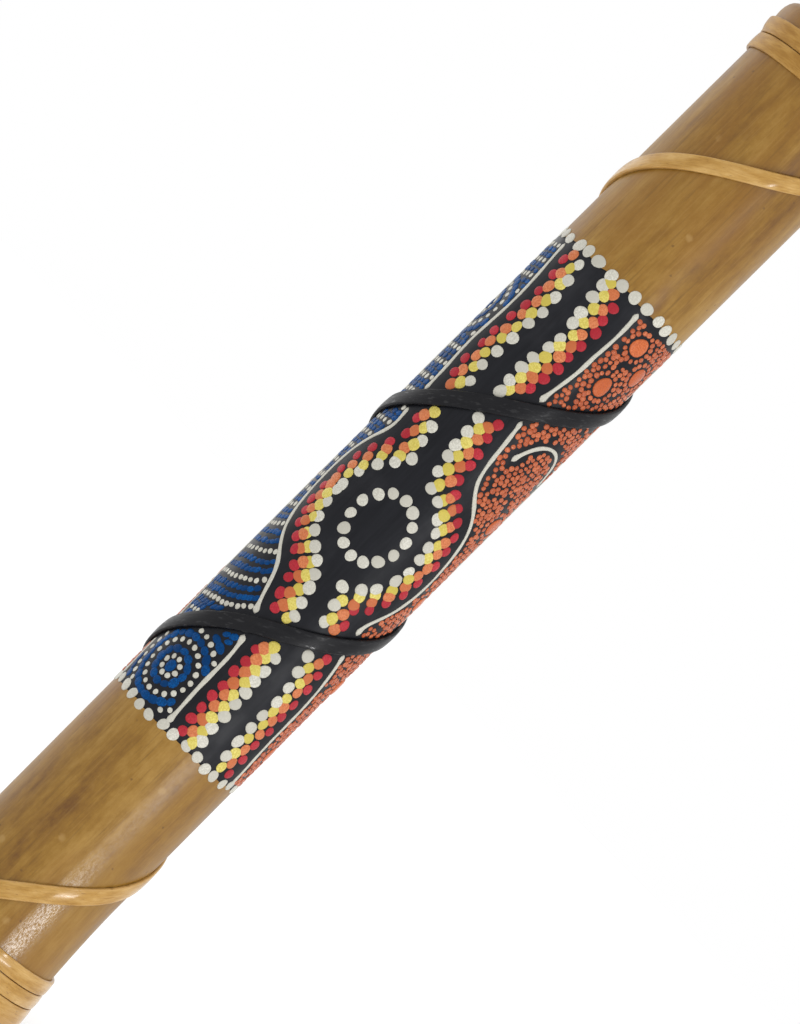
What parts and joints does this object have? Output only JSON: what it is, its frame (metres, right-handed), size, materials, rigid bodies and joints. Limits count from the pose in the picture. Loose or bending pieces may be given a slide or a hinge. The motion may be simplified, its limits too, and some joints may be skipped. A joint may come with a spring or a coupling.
{
  "type": "rainstick",
  "caption": "Bamboo rainstick with a spiral rattan strip, bound ends, a painted dot band, inner pegs and pebbles that slide the length of the bore.",
  "frame": {"origin": "middle of the flat lower end, which the stick stands on", "axes": "+Z along the stick towards its upper end; -Y faces the viewer; right-handed"},
  "size_m": [0.0607, 0.0604, 0.4],
  "materials": {
    "bamboo": "satin",
    "rattan": "satin",
    "plug_wood": "matte",
    "peg_bamboo": "matte",
    "brass": "satin",
    "pebble_stone": "matte",
    "ground_paint": "satin",
    "dot_paint": "satin"
  },
  "bodies": {
    "body": {"culm": "bamboo", "bottom_plug": "plug_wood", "top_plug": "plug_wood", "rattan_strip": "rattan", "lower_brad": "brass", "upper_brad": "brass", "peg_01": "peg_bamboo", "peg_02": "peg_bamboo", "peg_03": "peg_bamboo", "peg_04": "peg_bamboo", "peg_05": "peg_bamboo", "peg_06": "peg_bamboo", "peg_07": "peg_bamboo", "peg_08": "peg_bamboo", "peg_09": "peg_bamboo", "peg_10": "peg_bamboo", "peg_11": "peg_bamboo", "peg_12": "peg_bamboo", "peg_13": "peg_bamboo", "peg_14": "peg_bamboo", "peg_15": "peg_bamboo", "peg_16": "peg_bamboo", "peg_17": "peg_bamboo", "peg_18": "peg_bamboo", "peg_19": "peg_bamboo", "peg_20": "peg_bamboo", "peg_21": "peg_bamboo", "peg_22": "peg_bamboo", "peg_23": "peg_bamboo", "peg_24": "peg_bamboo", "peg_25": "peg_bamboo", "peg_26": "peg_bamboo", "peg_27": "peg_bamboo", "peg_28": "peg_bamboo", "peg_29": "peg_bamboo", "peg_30": "peg_bamboo", "peg_31": "peg_bamboo", "peg_32": "peg_bamboo", "peg_33": "peg_bamboo", "peg_34": "peg_bamboo", "peg_35": "peg_bamboo", "peg_36": "peg_bamboo", "peg_37": "peg_bamboo", "peg_38": "peg_bamboo", "peg_39": "peg_bamboo", "peg_40": "peg_bamboo", "peg_41": "peg_bamboo"},
    "pebble_01": {"pebble_01": "pebble_stone"},
    "pebble_02": {"pebble_02": "pebble_stone"},
    "pebble_03": {"pebble_03": "pebble_stone"},
    "pebble_04": {"pebble_04": "pebble_stone"},
    "pebble_05": {"pebble_05": "pebble_stone"},
    "pebble_06": {"pebble_06": "pebble_stone"},
    "pebble_07": {"pebble_07": "pebble_stone"},
    "pebble_08": {"pebble_08": "pebble_stone"},
    "pebble_09": {"pebble_09": "pebble_stone"},
    "pebble_10": {"pebble_10": "pebble_stone"},
    "pebble_11": {"pebble_11": "pebble_stone"},
    "pebble_12": {"pebble_12": "pebble_stone"}
  },
  "joints": [
    {"name": "pebble_01_fall", "type": "slide", "parent": "body", "child": "pebble_01", "axis": [0, 0, 1], "range_m": [0, 0.379]},
    {"name": "pebble_02_fall", "type": "slide", "parent": "body", "child": "pebble_02", "axis": [0, 0, 1], "range_m": [0, 0.379]},
    {"name": "pebble_03_fall", "type": "slide", "parent": "body", "child": "pebble_03", "axis": [0, 0, 1], "range_m": [0, 0.379]},
    {"name": "pebble_04_fall", "type": "slide", "parent": "body", "child": "pebble_04", "axis": [0, 0, 1], "range_m": [0, 0.379]},
    {"name": "pebble_05_fall", "type": "slide", "parent": "body", "child": "pebble_05", "axis": [0, 0, 1], "range_m": [0, 0.379]},
    {"name": "pebble_06_fall", "type": "slide", "parent": "body", "child": "pebble_06", "axis": [0, 0, 1], "range_m": [0, 0.379]},
    {"name": "pebble_07_fall", "type": "slide", "parent": "body", "child": "pebble_07", "axis": [0, 0, 1], "range_m": [0, 0.379]},
    {"name": "pebble_08_fall", "type": "slide", "parent": "body", "child": "pebble_08", "axis": [0, 0, 1], "range_m": [0, 0.379]},
    {"name": "pebble_09_fall", "type": "slide", "parent": "body", "child": "pebble_09", "axis": [0, 0, 1], "range_m": [0, 0.379]},
    {"name": "pebble_10_fall", "type": "slide", "parent": "body", "child": "pebble_10", "axis": [0, 0, 1], "range_m": [0, 0.379]},
    {"name": "pebble_11_fall", "type": "slide", "parent": "body", "child": "pebble_11", "axis": [0, 0, 1], "range_m": [0, 0.379]},
    {"name": "pebble_12_fall", "type": "slide", "parent": "body", "child": "pebble_12", "axis": [0, 0, 1], "range_m": [0, 0.379]}
  ]
}
